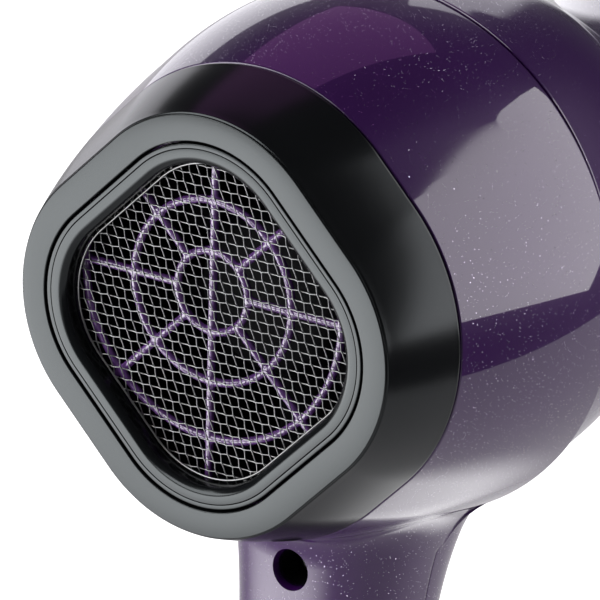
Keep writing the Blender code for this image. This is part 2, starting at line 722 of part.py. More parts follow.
def make_handle_end():
    cap_depths = (HANDLE_END + GAP, 163.0, 166.4, 167.6, AXIS_HEIGHT)
    insets = (0.0, 0.0, 0.6, 1.5, 2.6)
    cap = loft("handle_end_cap", [handle_ring(depth, inset)
                                  for depth, inset in zip(cap_depths, insets)], "satin_black")
    join(cap, loft("end_cap_spigot", [handle_ring(depth, HANDLE_WALL + GAP)
                                      for depth in (154.0, 160.0)]))
    middle = (handle_face(163.0, "rear") + handle_face(163.0, "front")) / 2
    cut(cap, rod("gland_seat", 5.4, (0, middle, -170), (0, middle, -150), segments=24))
    gland = rod("cable_gland", 5.1, (0, middle, -AXIS_HEIGHT + GAP), (0, middle, -153.6),
                "rubber", 24)
    cut(gland, rod("gland_bore", 3.6, (0, middle, -170), (0, middle, -150), segments=20))


def make_cable_clamp():
    depth = 150.0
    clamp = box("cable_clamp", (23.0, 3.6, 5.0), (0, 23.8, -depth), "dark_plastic")
    for name, x in (("clamp_screw_left", -8.0), ("clamp_screw_right", 8.0)):
        cut(clamp, rod(f"{name}_hole", 1.6, (x, 20, -depth), (x, 28, -depth), segments=12))
        screw = rod(name, 1.2, (x, 12.0, -depth), (x, 26.6, -depth), "steel", 12)
        join(screw, rod(f"{name}_head", 2.4, (x, 25.9, -depth), (x, 27.6, -depth), segments=12))
    box("terminal_block", (16.0, 9.0, 6.0), (0, 21.0, -127.5), "ceramic")


def make_leads():
    """Insulated leads from the terminal block, up the handle, to the motor and the heater."""
    routes = {
        "motor_lead_red": (1, 9.8, (3.0, 55.4, -8.0)),
        "motor_lead_black": (1, 11.8, (6.6, 56.4, -10.0)),
        "heater_lead_white": (-1, 9.8, (-4.0, 62.0, -10.0)),
        "heater_lead_brown": (-1, 11.8, (-7.5, 63.5, -14.0)),
    }
    for name, (side, x, end) in routes.items():
        outer = x > 10
        climb = 22.5 if outer else 25.5
        duct_x, duct_z = (9.6, -35.8) if outer else (7.6, -36.3)
        route = [(side * x, climb, -123.0), (side * x, climb, -76.0),
                 (side * x, climb + 3, -60.0), (side * (x - 1.2), 33.0, -47.0),
                 (side * (x - 2.0), 41.0, -40.5 if outer else -38.6),
                 (side * duct_x, 49.0, duct_z), (side * duct_x, 53.6, duct_z),
                 (side * (x - 3.0), 57.0, -31.0)]
        wire(name, route + [end], 0.8, name.split("_")[-1] + "_insulation")


# ---------------------------------------------------------------- build

clear_scene()
PARTS = new_collection("hair_dryer")
CUTTERS = new_collection("cutters")
MATERIALS = {
    "violet_metallic": new_material("violet_metallic", (0.075, 0.018, 0.16), 0.3, 0.4, 1.0),
    "violet_plastic": new_material("violet_plastic", (0.10, 0.035, 0.19), 0.4),
    "satin_black": new_material("satin_black", (0.02, 0.021, 0.022), 0.42),
    "dark_plastic": new_material("dark_plastic", (0.035, 0.035, 0.037), 0.5),
    "steel": new_material("steel", (0.62, 0.62, 0.63), 0.3, 1.0),
    "mica": new_material("mica", (0.55, 0.47, 0.33), 0.55),
    "ceramic": new_material("ceramic", (0.80, 0.78, 0.72), 0.5),
    "copper": new_material("copper", (0.62, 0.27, 0.12), 0.35, 1.0),
    "brass": new_material("brass", (0.62, 0.45, 0.16), 0.35, 1.0),
    "ferrite": new_material("ferrite", (0.06, 0.06, 0.065), 0.6),
    "circuit_board": new_material("circuit_board", (0.03, 0.16, 0.07), 0.5),
    "rubber": new_material("rubber", (0.02, 0.02, 0.02), 0.7),
    "red_insulation": new_material("red_insulation", (0.55, 0.03, 0.03), 0.45),
    "black_insulation": new_material("black_insulation", (0.02, 0.02, 0.02), 0.45),
    "white_insulation": new_material("white_insulation", (0.8, 0.8, 0.78), 0.45),
    "brown_insulation": new_material("brown_insulation", (0.20, 0.08, 0.03), 0.45),
}

make_cowl()
make_filter()
make_intake_guard()
make_rear_shell()
make_front_shell()
make_handle_screws()
make_outlet()
make_heater()
make_fan()
make_motor()
make_fan_duct()
make_switches()
make_handle_end()
make_cable_clamp()
make_leads()
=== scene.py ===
"""The looks of a handheld hair dryer: fine shells, woven filter, lacquer and studio.

Shapes are worked out in the dryer's own working frame, in millimetres: the origin is on the axis
of the air path where the cowl meets the housing, +Y is the way the air flows and +Z is up.
place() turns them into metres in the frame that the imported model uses.
"""
import json
import math

import bmesh
import bpy
import numpy as np
from mathutils import Matrix, Vector


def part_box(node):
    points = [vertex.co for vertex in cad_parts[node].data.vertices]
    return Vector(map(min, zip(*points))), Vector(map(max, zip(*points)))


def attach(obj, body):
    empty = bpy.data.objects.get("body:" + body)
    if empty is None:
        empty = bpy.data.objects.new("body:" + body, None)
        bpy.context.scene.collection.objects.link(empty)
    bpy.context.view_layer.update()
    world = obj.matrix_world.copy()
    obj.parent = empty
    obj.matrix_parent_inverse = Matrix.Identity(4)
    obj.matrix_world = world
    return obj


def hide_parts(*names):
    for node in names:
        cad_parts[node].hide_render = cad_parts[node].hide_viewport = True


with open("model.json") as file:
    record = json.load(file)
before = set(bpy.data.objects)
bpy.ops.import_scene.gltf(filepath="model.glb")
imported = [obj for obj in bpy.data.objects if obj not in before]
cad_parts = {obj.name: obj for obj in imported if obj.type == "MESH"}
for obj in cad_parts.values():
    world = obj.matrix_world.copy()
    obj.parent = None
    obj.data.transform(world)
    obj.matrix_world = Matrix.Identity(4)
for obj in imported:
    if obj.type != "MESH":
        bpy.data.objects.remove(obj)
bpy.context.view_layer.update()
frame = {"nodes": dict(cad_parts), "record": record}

MM = 0.001
GAP = 0.3
TAU = 2 * math.pi
ROUND = 256                      # points round a turned or rounded-square section
HANDLE_ROUND = 128               # points round a section of the handle
CORNER_STEPS = 6                 # points on a softened corner
HALVINGS = 40                    # steps of a search by halving
SHARP = 35.0                     # degrees above which an edge is shaded sharp

# The sections that the CAD model is built on
JOINT_HALF, JOINT_ROUNDNESS = 41.8, 0.876
HOUSING_LENGTH, HOUSING_RISE, HOUSING_BOW, HOUSING_DROP = 40.0, 13.2, 5.4, 1.1
HOUSING_WALL, FRONT_WALL = 2.4, 3.0
TONGUE_START, TONGUE_RADIUS = 34.0, 44.8
BARREL_PROFILE = ((40.3, 48.9), (46.0, 48.5), (52.0, 47.9), (58.0, 46.9), (64.0, 45.1),
                  (70.0, 42.5), (80.0, 37.0), (90.0, 32.6), (100.0, 29.4), (112.0, 27.0),
                  (126.0, 25.6), (146.0, 24.6))
BARREL_WALL = 2.2
OUTLET_FACE = 156.0
NECK, HANDLE_END, FOOT = 57.0, 158.0, 168.0
HANDLE_REAR, HANDLE_FRONT, HANDLE_HALF_WIDTH, HANDLE_LEAN = 14.0, 43.5, 15.6, 0.085
FLARE_START, FLARE_LENGTH = 45.0, 15.0
FLARE_REAR, FLARE_FRONT, FLARE_SIDE = 2.2, 10.0, 5.5
HANDLE_POWER, HANDLE_WALL = 2.6, 2.4
FILLET_RISE, FILLET_REACH = 6.5, 5.0
SEAM = 31.4
SCREW_DEPTHS = (54.9, 140.0)
SCREW_HOLE, SCREW_SEAT = 3.5, 9.0
MESH_PLANE, GUARD_PLANE = -11.9, -10.5
GUARD_CENTRE, GUARD_RINGS, GUARD_BAR = (-1.7, 4.8), (7.5, 16.8, 27.4), 0.82
COLLAR_HALF = 32.5
ROCKER_DEPTHS, ROCKER_PIVOT = {"speed": 84.0, "heat": 108.0}, 7.5
ROCKER_HALF_LENGTH, ROCKER_HALF_WIDTH = 8.0, 4.5
WINDOW_HALVES = (4.9, 9.8)
BUTTON_DEPTH, BUTTON_RADIUS = 66.0, 4.2
FAN_BLADES = 9

cowl_low, cowl_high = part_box("rear_cowl")
ORIGIN = np.array([(cowl_low.x + cowl_high.x) / 2, cowl_high.y + GAP * MM,
                   (cowl_low.z + cowl_high.z) / 2])


def place(points):
    """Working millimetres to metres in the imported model's frame."""
    return np.asarray(points, float) * MM + ORIGIN


# ---------------------------------------------------------------- mesh helpers

def piece(name, points, faces, finish, sharp=SHARP):
    """A shaded mesh object from working points and faces, with its faces turned outward."""
    mesh = bpy.data.meshes.new(name)
    mesh.from_pydata(place(points).tolist(), [], [tuple(map(int, face)) for face in faces])
    builder = bmesh.new()
    builder.from_mesh(mesh)
    bmesh.ops.recalc_face_normals(builder, faces=builder.faces)
    builder.to_mesh(mesh)
    builder.free()
    mesh.materials.append(finish)
    mesh.shade_smooth()
    mesh.set_sharp_from_angle(angle=math.radians(sharp))
    result = bpy.data.objects.new(name, mesh)
    bpy.context.scene.collection.objects.link(result)
    return result


def grid_faces(rows, columns, wrap_rows=False, wrap_columns=False):
    """Quads of a grid of points that is stored row by row."""
    i, j = np.meshgrid(np.arange(rows - (not wrap_rows)),
                       np.arange(columns - (not wrap_columns)), indexing="ij")
    up, on = (i + 1) % rows, (j + 1) % columns
    corners = (i * columns + j, i * columns + on, up * columns + on, up * columns + j)
    return np.stack(corners, -1).reshape(-1, 4)


def loft(name, rings, finish, ring_path=True, sharp=SHARP):
    """Skin over closed sections; they make a ring when ring_path, and else are capped."""
    count = len(rings[0])
    faces = grid_faces(len(rings), count, ring_path, True).tolist()
    if not ring_path:
        faces.append(list(range(count)))
        faces.append(list(range((len(rings) - 1) * count, len(rings) * count)))
    return piece(name, np.concatenate(rings), faces, finish, sharp)


def thick_sheet(name, outer, inner, finish):
    """Closed wall between two open grids of points of the same size."""
    rows, columns = outer.shape[:2]
    total = rows * columns
    skin = grid_faces(rows, columns)
    faces = [skin, skin[:, ::-1] + total]
    index = np.arange(total).reshape(rows, columns)
    rim = np.concatenate([index[0], index[1:, -1], index[-1, -2::-1], index[-2:0:-1, 0]])
    on = np.roll(rim, -1)
    faces.append(np.stack([rim, rim + total, on + total, on], -1))
    points = np.concatenate([outer.reshape(-1, 3), inner.reshape(-1, 3)])
    return piece(name, points, np.concatenate(faces), finish)


def modify(target, kind, **settings):
    """Adds a modifier and applies it to the mesh."""
    modifier = target.modifiers.new(kind.lower(), kind)
    for key, value in settings.items():
        setattr(modifier, key, value)
    evaluated = target.evaluated_get(bpy.context.evaluated_depsgraph_get())
    mesh = bpy.data.meshes.new_from_object(evaluated)
    target.modifiers.clear()
    old, target.data = target.data, mesh
    bpy.data.meshes.remove(old)


def combine(target, others, operation):
    """Boolean of other objects with the target, which removes them."""
    for other in others:
        modify(target, "BOOLEAN", object=other, operation=operation, solver="EXACT")
        bpy.data.objects.remove(other)
    target.data.shade_smooth()
    target.data.set_sharp_from_angle(angle=math.radians(SHARP))


def merge(target, others):
    """Adds other objects' meshes to the target's and removes them."""
    builder = bmesh.new()
    for item in [target] + others:
        builder.from_mesh(item.data)
    builder.to_mesh(target.data)
    builder.free()
    for other in others:
        bpy.data.objects.remove(other)


def tube(points, radius, sides=8, closed=False):
    """Points and faces of a round bar along a path of working points."""
    path = np.asarray(points, float)
    ahead, behind = np.roll(path, -1, 0), np.roll(path, 1, 0)
    if not closed:
        ahead[-1], behind[0] = path[-1], path[0]
    along = ahead - behind
    along /= np.linalg.norm(along, axis=1)[:, None]
    guide = np.array([0.0, 1.0, 0.0]) if abs(along[:, 1]).max() < 0.9 else np.array([1.0, 0, 0])
    side = np.cross(along, guide)
    side /= np.linalg.norm(side, axis=1)[:, None]
    up = np.cross(side, along)
    turn = TAU * np.arange(sides) / sides
    ring = (side[:, None] * np.cos(turn)[None, :, None] + up[:, None] * np.sin(turn)[None, :, None])
    grid = path[:, None] + radius * ring
    faces = grid_faces(len(path), sides, closed, True).tolist()
    if not closed:
        faces.append(list(range(sides)))
        faces.append(list(range((len(path) - 1) * sides, len(path) * sides)))
    return grid.reshape(-1, 3), faces


def bars(name, tubes, finish):
    """One object from several tubes."""
    points, faces, start = [], [], 0
    for some_points, some_faces in tubes:
        points.append(some_points)
        faces += [[corner + start for corner in face] for face in some_faces]
        start += len(some_points)
    return piece(name, np.concatenate(points), faces, finish, 60.0)


# ---------------------------------------------------------------- sections

def square_radius(angle, half, roundness):
    """Distance from the centre to a rounded square with a corner at the top."""
    from_flat = np.abs(angle % (math.pi / 2) - math.pi / 4)
    corner = half * roundness
    reach = (half - corner) * math.sqrt(2)
    off = math.pi / 4 - from_flat
    arc = reach * np.cos(off) + np.sqrt(np.maximum(corner ** 2 - (reach * np.sin(off)) ** 2, 0))
    return np.where(np.tan(from_flat) <= 1 - roundness, half / np.cos(from_flat), arc)


def square_ring(distance, half, roundness=1.0, centre=(0.0, 0.0), count=ROUND):
    angle = TAU * np.arange(count) / count
    radius = square_radius(angle, half, roundness)
    return np.stack([centre[0] + radius * np.cos(angle), np.full(count, float(distance)),
                     centre[1] + radius * np.sin(angle)], -1)


def soften(stations):
    """Outline with each corner replaced by a curve that starts its last value away from it."""
    outline = []
    for number, station in enumerate(stations):
        here, bend = np.array(station[:-1]), station[-1]
        if not bend:
            outline.append(here)
            continue
        before = np.array(stations[number - 1][:-1])
        after = np.array(stations[(number + 1) % len(stations)][:-1])
        start = here + (before - here) * bend / np.linalg.norm((before - here)[:2])
        end = here + (after - here) * bend / np.linalg.norm((after - here)[:2])
        for t in np.linspace(0, 1, CORNER_STEPS):
            outline.append((1 - t) ** 2 * start + 2 * t * (1 - t) * here + t * t * end)
    return outline


def through(stations, count):
    """Stations on the smooth curve through a few stations, by distance along the axis."""
    table = np.array(stations, float)
    distance = np.linspace(table[0, 0], table[-1, 0], count)
    columns = [np.polyval(np.polyfit(table[:, 0], table[:, k], len(table) - 1), distance)
               for k in range(1, table.shape[1])]
    return [(d, *values, 0.0) for d, *values in zip(distance, *columns)]


def rings_of(stations):
    return [square_ring(*station) for station in stations]


def housing_section(distance):
    t = np.asarray(distance, float) / HOUSING_LENGTH
    half = JOINT_HALF + HOUSING_RISE * t - HOUSING_BOW * t * t
    roundness = JOINT_ROUNDNESS + (1 - JOINT_ROUNDNESS) * np.clip(t, 0, 1)
    return half, roundness, -HOUSING_DROP * np.maximum(t, 0) ** 3


def barrel_curve():
    """The barrel's outer radius as a smooth curve through its profile's points."""
    table = np.array(BARREL_PROFILE)
    distance = np.linspace(table[0, 0], table[-1, 0], 90)
    slope = np.gradient(table[:, 1], table[:, 0])
    index = np.clip(np.searchsorted(table[:, 0], distance) - 1, 0, len(table) - 2)
    span = table[index + 1, 0] - table[index, 0]
    t = (distance - table[index, 0]) / span
    low, high = table[index, 1], table[index + 1, 1]
    radius = ((2 * t ** 3 - 3 * t ** 2 + 1) * low + (t ** 3 - 2 * t ** 2 + t) * span * slope[index]
              + (3 * t ** 2 - 2 * t ** 3) * high + (t ** 3 - t ** 2) * span * slope[index + 1])
    return distance, radius


BARREL_DISTANCE, BARREL_RADIUS = barrel_curve()


def underside(x, y):
    """Height of the body's lower surface over points in the horizontal plane."""
    x, y = np.asarray(x, float), np.asarray(y, float)
    half, roundness, drop = housing_section(np.clip(y, 0, HOUSING_LENGTH))
    low, high = np.full(x.shape, -math.pi / 2), np.zeros(x.shape)
    for _ in range(HALVINGS):
        middle = (low + high) / 2
        beyond = square_radius(middle, half, roundness) * np.cos(middle) > np.abs(x)
        low, high = np.where(beyond, low, middle), np.where(beyond, middle, high)
    on_housing = drop + square_radius(low, half, roundness) * np.sin(low)
    radius = np.interp(y, BARREL_DISTANCE, BARREL_RADIUS)
    on_barrel = -np.sqrt(np.maximum(radius ** 2 - x ** 2, 1.0))
    mix = np.clip((y - HOUSING_LENGTH + 1) / 2, 0, 1)
    return on_housing * (1 - mix) + on_barrel * mix


def handle_limits(depth):
    flare = np.exp(-(depth - FLARE_START) / FLARE_LENGTH)
    lean = HANDLE_LEAN * (depth - NECK)
    return (HANDLE_REAR - lean - FLARE_REAR * flare, HANDLE_FRONT - lean + FLARE_FRONT * flare,
            HANDLE_HALF_WIDTH + FLARE_SIDE * flare)


def seam(depth):
    """Where the handle's halves meet: straight down the handle, curving forward under the body."""
    forward = 8.0 * np.exp(-np.maximum(depth - 45.0, 0.0) / 1.4)
    return SEAM - HANDLE_LEAN * (depth - NECK) + forward


def handle_points(depth, share, side, inset, gap):
    """Points of one half of the handle: share runs from 0 to 1 round it from seam to seam."""
    rear, front, half_width = handle_limits(depth)
    rear, front, half_width = rear + inset, front - inset, half_width - inset
    limit = seam(depth) + (gap if side == "front" else -gap)
    along = np.clip((2 * limit - front - rear) / (front - rear), -0.95, 0.95)
    edge = np.arcsin(np.sign(along) * np.abs(along) ** (HANDLE_POWER / 2))
    if side == "rear":
        angle = math.pi - edge + share * (math.pi + 2 * edge)
    else:
        angle = edge + share * (math.pi - 2 * edge)
    cosine, sine = np.cos(angle), np.sin(angle)
    x = half_width * np.sign(cosine) * np.abs(cosine) ** (2 / HANDLE_POWER)
    y = (front + rear) / 2 + (front - rear) / 2 * np.sign(sine) * np.abs(sine) ** (2 / HANDLE_POWER)
    return np.stack([x, y, -depth + 0 * x], -1)


def meeting_depth(share, side, inset, rise):
    """Depth at which the handle's surface comes within rise of the body's underside."""
    low, high = np.full(share.shape, 25.0), np.full(share.shape, 75.0)
    for _ in range(HALVINGS):
        middle = (low + high) / 2
        point = handle_points(middle, share, side, inset, 0.0)
        inside = point[:, 2] > underside(point[:, 0], point[:, 1]) + rise
        low, high = np.where(inside, middle, low), np.where(inside, high, middle)
    return high


def handle_grids(side, gap):
    """Outer and inner surface of a handle half, from its foot to a fillet on the body."""
    t = np.linspace(0, 1, 97)
    share = t - 0.28 * np.sin(TAU * t) / TAU
    hit = meeting_depth(share, side, 0.0, 0.0)
    rows = []
    for t in np.linspace(0, 1, 60):
        depth = HANDLE_END + (hit + FILLET_RISE - HANDLE_END) * (1 - (1 - t) ** 1.35)
        rows.append(handle_points(depth, share, side, 0.0, gap))
    start, corner = rows[-1], handle_points(hit, share, side, 0.0, gap)
    away = corner[:, :2] - (0.0, SEAM + 3)
    away /= np.linalg.norm(away, axis=1)[:, None]
    reach = corner[:, :2] + away * FILLET_REACH
    end = np.column_stack([reach, underside(reach[:, 0], reach[:, 1])])
    for t in np.linspace(0, 1, 12)[1:]:
        rows.append((1 - t) ** 2 * start + 2 * t * (1 - t) * corner + t * t * end)
    for step, sink in ((0.8, 0.25), (1.2, 1.2)):
        reach = corner[:, :2] + away * (FILLET_REACH + step)
        rows.append(np.column_stack([reach, underside(reach[:, 0], reach[:, 1]) + sink]))
    top = meeting_depth(share, side, HANDLE_WALL, 1.2)
    inner = [handle_points(HANDLE_END + (top - HANDLE_END) * t, share, side, HANDLE_WALL, gap)
             for t in np.linspace(0, 1, len(rows))]
    return np.stack(rows), np.stack(inner)


def handle_ring(depth, inset):
    """The handle's whole section at a depth, moved inward by inset."""
    rear, front, half_width = handle_limits(depth)
    angle = TAU * np.arange(HANDLE_ROUND) / HANDLE_ROUND
    across = np.sign(np.cos(angle)) * np.abs(np.cos(angle)) ** (2 / HANDLE_POWER)
    along = np.sign(np.sin(angle)) * np.abs(np.sin(angle)) ** (2 / HANDLE_POWER)
    return np.stack([(half_width - inset) * across,
                     (front + rear) / 2 + ((front - rear) / 2 - inset) * along,
                     np.full(HANDLE_ROUND, -float(depth))], -1)


def level_ring(depth, radius, centre_y):
    """Circle in a horizontal plane."""
    angle = TAU * np.arange(HANDLE_ROUND) / HANDLE_ROUND
    return np.stack([radius * np.cos(angle), centre_y + radius * np.sin(angle),
                     np.full(HANDLE_ROUND, -float(depth))], -1)


# ---------------------------------------------------------------- materials

def new_material(name):
    material = bpy.data.materials.new(name)
    material.use_nodes = True
    tree = material.node_tree
    return material, tree, tree.nodes["Principled BSDF"]


def add(tree, kind, **inputs):
    """Adds a node; inputs are sockets by name (spaces as underscores) or attributes."""
    node = tree.nodes.new(kind)
    for key, value in inputs.items():
        socket = key.replace("_", " ")
        if socket in node.inputs and not hasattr(node, key):
            node.inputs[socket].default_value = value
        else:
            setattr(node, key, value)
    return node


VECTOR_MATHS = "ShaderNodeVectorMath"


def reckon(tree, operation, *sources, kind="ShaderNodeMath", output=0):
    """Result of a maths node on sockets or numbers."""
    node = add(tree, kind, operation=operation)
    for socket, source in zip(node.inputs, sources):
        if isinstance(source, bpy.types.NodeSocket):
            tree.links.new(source, socket)
        else:
            socket.default_value = source
    return node.outputs[output]


def object_noise(tree, scale, detail=2.0):
    coordinates = add(tree, "ShaderNodeTexCoord")
    noise = add(tree, "ShaderNodeTexNoise")
    noise.inputs["Scale"].default_value = scale
    noise.inputs["Detail"].default_value = detail
    tree.links.new(coordinates.outputs["Object"], noise.inputs["Vector"])
    return noise


def ramp(tree, source, stops):
    node = tree.nodes.new("ShaderNodeValToRGB")
    elements = node.color_ramp.elements
    while len(elements) < len(stops):
        elements.new(0.5)
    for element, (position, colour) in zip(elements, stops):
        element.position = position
        element.color = (*colour, 1.0) if len(colour) == 3 else colour
    tree.links.new(source, node.inputs["Fac"])
    return node


def smooth_step(tree, source, start, end, low, high):
    """Value that goes smoothly from low to high as the source goes from start to end."""
    node = add(tree, "ShaderNodeMapRange", interpolation_type="SMOOTHSTEP")
    for socket, value in (("From Min", start), ("From Max", end), ("To Min", low),
                          ("To Max", high)):
        node.inputs[socket].default_value = value
    tree.links.new(source, node.inputs["Value"])
    return node.outputs["Result"]


def grained(name, colour, roughness, metallic=0.0, grain=4000.0, depth=0.02, vary=0.15,
            coat=0.0, specular=0.5, sheen_tint=(1.0, 1.0, 1.0)):
    """Moulded or plain surface: fine grain, slow colour variation and uneven gloss."""
    material, tree, shader = new_material(name)
    slow = object_noise(tree, 60.0, 3.0)
    low = tuple(c * (1 - vary) for c in colour)
    high = tuple(min(c * (1 + vary), 1.0) for c in colour)
    tint = ramp(tree, slow.outputs["Fac"], ((0.3, low), (0.7, high)))
    tree.links.new(tint.outputs["Color"], shader.inputs["Base Color"])
    fine = object_noise(tree, grain)
    gloss = add(tree, "ShaderNodeMapRange")
    gloss.inputs["To Min"].default_value = roughness * 0.88
    gloss.inputs["To Max"].default_value = min(roughness * 1.12, 1.0)
    tree.links.new(fine.outputs["Fac"], gloss.inputs["Value"])
    tree.links.new(gloss.outputs["Result"], shader.inputs["Roughness"])
    bump = add(tree, "ShaderNodeBump")
    bump.inputs["Strength"].default_value = 0.35
    bump.inputs["Distance"].default_value = depth * MM
    tree.links.new(fine.outputs["Fac"], bump.inputs["Height"])
    tree.links.new(bump.outputs["Normal"], shader.inputs["Normal"])
    shader.inputs["Metallic"].default_value = metallic
    shader.inputs["Coat Weight"].default_value = coat
    shader.inputs["Specular IOR Level"].default_value = specular
    shader.inputs["Specular Tint"].default_value = (*sheen_tint, 1.0)
    return material


FLAKE_LEAN = 0.9


def flakes(tree, coordinates, cell, share, size):
    """Small round flakes, as a mask and as a lean of the surface that differs between them."""
    cells = add(tree, "ShaderNodeTexVoronoi")
    cells.inputs["Scale"].default_value = 1 / (cell * MM)
    tree.links.new(coordinates.outputs["Object"], cells.inputs["Vector"])
    split = add(tree, "ShaderNodeSeparateColor")
    tree.links.new(cells.outputs["Color"], split.inputs["Color"])
    chosen = reckon(tree, "LESS_THAN", split.outputs["Red"], share)
    radius = reckon(tree, "MULTIPLY", split.outputs["Green"], size)
    near = reckon(tree, "LESS_THAN", cells.outputs["Distance"], radius)
    mask = reckon(tree, "MULTIPLY", chosen, near)
    tilt = reckon(tree, "SUBTRACT", cells.outputs["Color"], (0.5, 0.5, 0.5), kind=VECTOR_MATHS)
    lean = add(tree, VECTOR_MATHS, operation="SCALE")
    tree.links.new(tilt, lean.inputs[0])
    tree.links.new(smooth_step(tree, mask, 0.0, 1.0, 0.0, FLAKE_LEAN), lean.inputs["Scale"])
    return mask, lean.outputs["Vector"]


def lacquer(name, colour):
    """Clear-coated lacquer with flakes of two sizes that each catch the light their own way."""
    material, tree, shader = new_material(name)
    coordinates = add(tree, "ShaderNodeTexCoord")
    large, large_lean = flakes(tree, coordinates, 0.48, 0.24, 0.22)
    small, small_lean = flakes(tree, coordinates, 0.28, 0.26, 0.28)
    mask = reckon(tree, "MAXIMUM", large, small)
    slow = object_noise(tree, 35.0)
    base = ramp(tree, slow.outputs["Fac"], ((0.3, tuple(c * 0.93 for c in colour)),
                                            (0.7, tuple(c * 1.07 for c in colour))))
    mixed = add(tree, "ShaderNodeMix", data_type="RGBA")
    tree.links.new(mask, mixed.inputs[0])
    tree.links.new(base.outputs["Color"], mixed.inputs[6])
    mixed.inputs[7].default_value = (0.72, 0.62, 0.84, 1.0)
    tree.links.new(mixed.outputs[2], shader.inputs["Base Color"])
    metal = smooth_step(tree, mask, 0.0, 1.0, 0.08, 1.0)
    tree.links.new(metal, shader.inputs["Metallic"])
    geometry = add(tree, "ShaderNodeNewGeometry")
    leaned = geometry.outputs["Normal"]
    for lean in (large_lean, small_lean):
        leaned = reckon(tree, "ADD", leaned, lean, kind=VECTOR_MATHS)
    level = reckon(tree, "NORMALIZE", leaned, kind=VECTOR_MATHS)
    tree.links.new(level, shader.inputs["Normal"])
    gloss = smooth_step(tree, mask, 0.0, 1.0, 0.34, 0.22)
    tree.links.new(gloss, shader.inputs["Roughness"])
    shader.inputs["Specular IOR Level"].default_value = 0.15
    shader.inputs["Coat Weight"].default_value = 1.0
    shader.inputs["Coat Roughness"].default_value = 0.03
    shader.inputs["Coat IOR"].default_value = 1.55
    return material


VIOLET = lacquer("violet_lacquer", (0.036, 0.0045, 0.074))
COOL = (0.90, 0.97, 1.0)
SATIN = grained("satin_black_plastic", (0.005, 0.0055, 0.006), 0.20, grain=5200.0, depth=0.016,
                specular=0.34, sheen_tint=COOL)
FILTER_BLACK = grained("filter_black_plastic", (0.004, 0.0045, 0.005), 0.17, grain=5200.0,
                       depth=0.008, specular=0.34, sheen_tint=COOL)
GUARD = grained("guard_violet_plastic", (0.096, 0.036, 0.16), 0.24, grain=3000.0, depth=0.02,
                coat=1.0)
STEEL_WIRE = grained("mesh_steel_wire", (0.23, 0.232, 0.235), 0.32, 1.0, grain=2600.0, depth=0.02)
INNER = grained("inner_black_plastic", (0.005, 0.005, 0.006), 0.6, depth=0.02, specular=0.06)
STEEL = grained("screw_steel", (0.50, 0.50, 0.51), 0.32, 1.0, grain=2200.0, depth=0.02)
CONTROL = grained("control_black_plastic", (0.014, 0.014, 0.015), 0.34, grain=4200.0, depth=0.02)
RUBBER = grained("gland_rubber", (0.02, 0.02, 0.02), 0.6, grain=3000.0, depth=0.04)


def finish_cad_nodes():
    """Gives every CAD node that stays in view a procedural finish of its own kind."""
    finishes = {
        "inner_black": INNER, "control_black": CONTROL, "cowl_black": SATIN,
        "body_violet": VIOLET, "guard_violet": GUARD, "mesh_steel": STEEL_WIRE, "steel": STEEL,
        "mica": grained("mica_sheet", (0.42, 0.36, 0.27), 0.35, grain=900.0, depth=0.05,
                        vary=0.3),
        "heating_wire": grained("heating_wire", (0.30, 0.27, 0.25), 0.42, 1.0),
        "ceramic": grained("ceramic", (0.72, 0.70, 0.66), 0.45),
        "copper": grained("copper_winding", (0.62, 0.27, 0.13), 0.35, 1.0, grain=1800.0,
                          depth=0.08),
        "brass": grained("brass", (0.62, 0.46, 0.18), 0.30, 1.0),
        "ferrite": grained("ferrite", (0.07, 0.07, 0.075), 0.6, grain=2500.0, depth=0.05),
        "circuit_board": grained("circuit_board", (0.03, 0.13, 0.06), 0.35, vary=0.3),
        "rubber": RUBBER,
    }
    for tint, colour in (("red", (0.42, 0.03, 0.03)), ("black", (0.02, 0.02, 0.02)),
                         ("white", (0.70, 0.70, 0.68)), ("brown", (0.20, 0.09, 0.04))):
        finishes["insulation_" + tint] = grained("insulation_" + tint, colour, 0.4)
    for part in frame["record"]["subparts"]:
        materials = frame["nodes"][part["node"]].data.materials
        materials.clear()
        materials.append(finishes[part["material_slot"]])


# ---------------------------------------------------------------- cowl and filter

def make_cowl():
    side = through(((-0.9, 41.6, 0.874), (-8.5, 38.9, 0.83), (-15.3, 35.95, 0.777)), 16)
    stations = [(-GAP, 41.35, 0.875, 0.0), (-0.42, 41.62, 0.875, 0.0), (-0.7, 41.66, 0.874, 0.0)]
    stations += side
    stations += [(-15.55, 35.85, 0.775, 0.06), (-15.72, 35.5, 0.774, 0.0),
                 (-15.88, 35.66, 0.774, 0.05), (-16.15, 35.5, 0.772, 0.2),
                 (-16.15, 30.2, 0.69, 0.28), (-13.0, 30.2, 0.69, 0.0),
                 (-13.0, 34.7, 0.76, 0.0), (-GAP, 39.6, 0.87, 0.0)]
    cowl = loft("rear_cowl_skin", rings_of(soften(stations)), SATIN, sharp=40.0)
    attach(cowl, "cowl")
    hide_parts("rear_cowl")


def make_filter_frame():
    stations = ((-11.7, 29.8, 0.69, 0.0), (-11.7, 28.0, 0.67, 0.0), (-12.4, 28.0, 0.67, 0.0),
                (-12.4, 25.9, 0.65, 0.12), (-15.2, 26.1, 0.652, 0.4), (-16.0, 27.1, 0.66, 0.45),
                (-16.0, 28.86, 0.682, 0.06), (-15.7, 28.94, 0.684, 0.0),
                (-16.0, 29.02, 0.686, 0.06), (-16.0, 29.8, 0.69, 0.22))
    outline = soften(stations)
    holder = loft("filter_frame_skin", rings_of(outline), FILTER_BLACK, sharp=40.0)
    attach(holder, "cowl")
    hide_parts("filter_frame")
    turns = np.linspace(0, TAU, 12, endpoint=False)
    rope = [square_ring(-12.58 + 0.18 * math.sin(a), 25.5 + 0.18 * math.cos(a), 0.65)
            for a in turns]
    bead = loft("filter_bead_skin", rope, STEEL_WIRE, sharp=180.0)
    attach(bead, "cowl")
    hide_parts("filter_bead")


